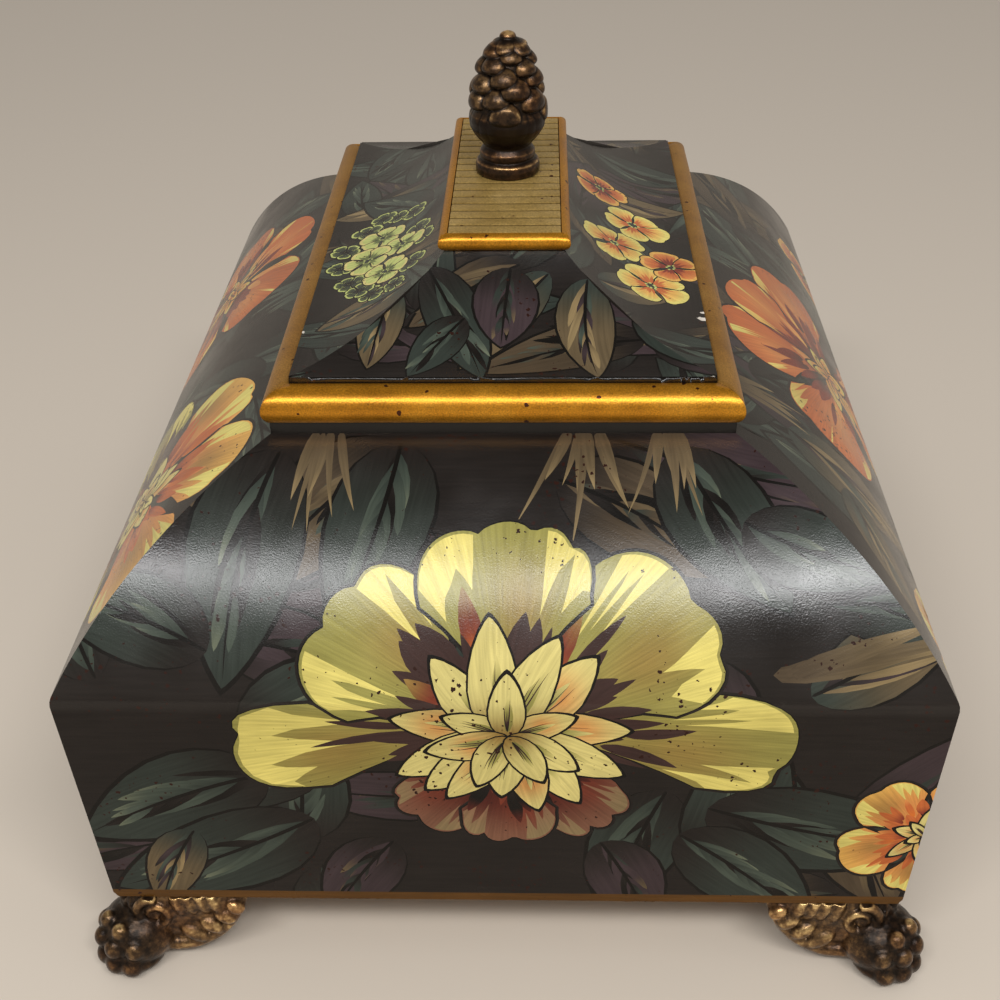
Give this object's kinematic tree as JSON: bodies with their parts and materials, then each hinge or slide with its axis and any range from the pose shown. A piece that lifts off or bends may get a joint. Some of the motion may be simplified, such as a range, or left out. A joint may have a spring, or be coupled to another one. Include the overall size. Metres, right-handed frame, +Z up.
{
  "type": "keepsake casket",
  "caption": "Rectangular keepsake casket with tapered walls, convex mitred shoulders, a lift-off coved lid with bead mouldings and a cone finial, on lion-paw feet.",
  "frame": {"origin": "centre of the outline on the surface that the feet stand on", "axes": "+Z up, front at -Y, long side along Y, width along X"},
  "size_m": [0.2762, 0.3462, 0.2614],
  "materials": {
    "painted_lacquer": "satin black-brown lacquer with painted flowers and leaves",
    "black_lacquer": "satin black lacquer",
    "raw_wood": "plain sawn board",
    "gilt": "antique gilding, rubbed",
    "pale_gilt": "pale antique gilding with dark grooves",
    "antique_bronze": "dark cast bronze with rubbed high spots",
    "steel": "plain zinc plated",
    "felt": "wine-red felt"
  },
  "bodies": {
    "box": {"bottom_board": "raw_wood", "wall_front": "painted_lacquer", "wall_back": "painted_lacquer", "wall_left": "painted_lacquer", "wall_right": "painted_lacquer", "shoulder_front": "painted_lacquer", "shoulder_back": "painted_lacquer", "shoulder_left": "painted_lacquer", "shoulder_right": "painted_lacquer", "neck_front": "black_lacquer", "neck_back": "black_lacquer", "neck_left": "black_lacquer", "neck_right": "black_lacquer", "foot_front_left": "antique_bronze", "foot_front_right": "antique_bronze", "foot_back_left": "antique_bronze", "foot_back_right": "antique_bronze", "foot_screws": "steel", "floor_lining": "felt", "wall_lining": "felt"},
    "lid": {"lid_board": "black_lacquer", "cove_front": "painted_lacquer", "cove_back": "painted_lacquer", "cove_left": "painted_lacquer", "cove_right": "painted_lacquer", "bead_front": "gilt", "bead_back": "gilt", "bead_left": "gilt", "bead_right": "gilt", "lip_front": "black_lacquer", "lip_back": "black_lacquer", "lip_left": "black_lacquer", "lip_right": "black_lacquer", "crown_block": "black_lacquer", "crown_bead_front": "gilt", "crown_bead_back": "gilt", "crown_bead_left": "gilt", "crown_bead_right": "gilt", "reeded_plate": "pale_gilt", "finial": "antique_bronze", "finial_stud": "steel", "finial_washer": "steel", "finial_nut": "steel", "lid_lining": "felt"}
  },
  "joints": [
    {"name": "lid_lift", "type": "slide", "parent": "box", "child": "lid", "axis": [0, 0, 1], "range_m": [0, 0.12]}
  ]
}
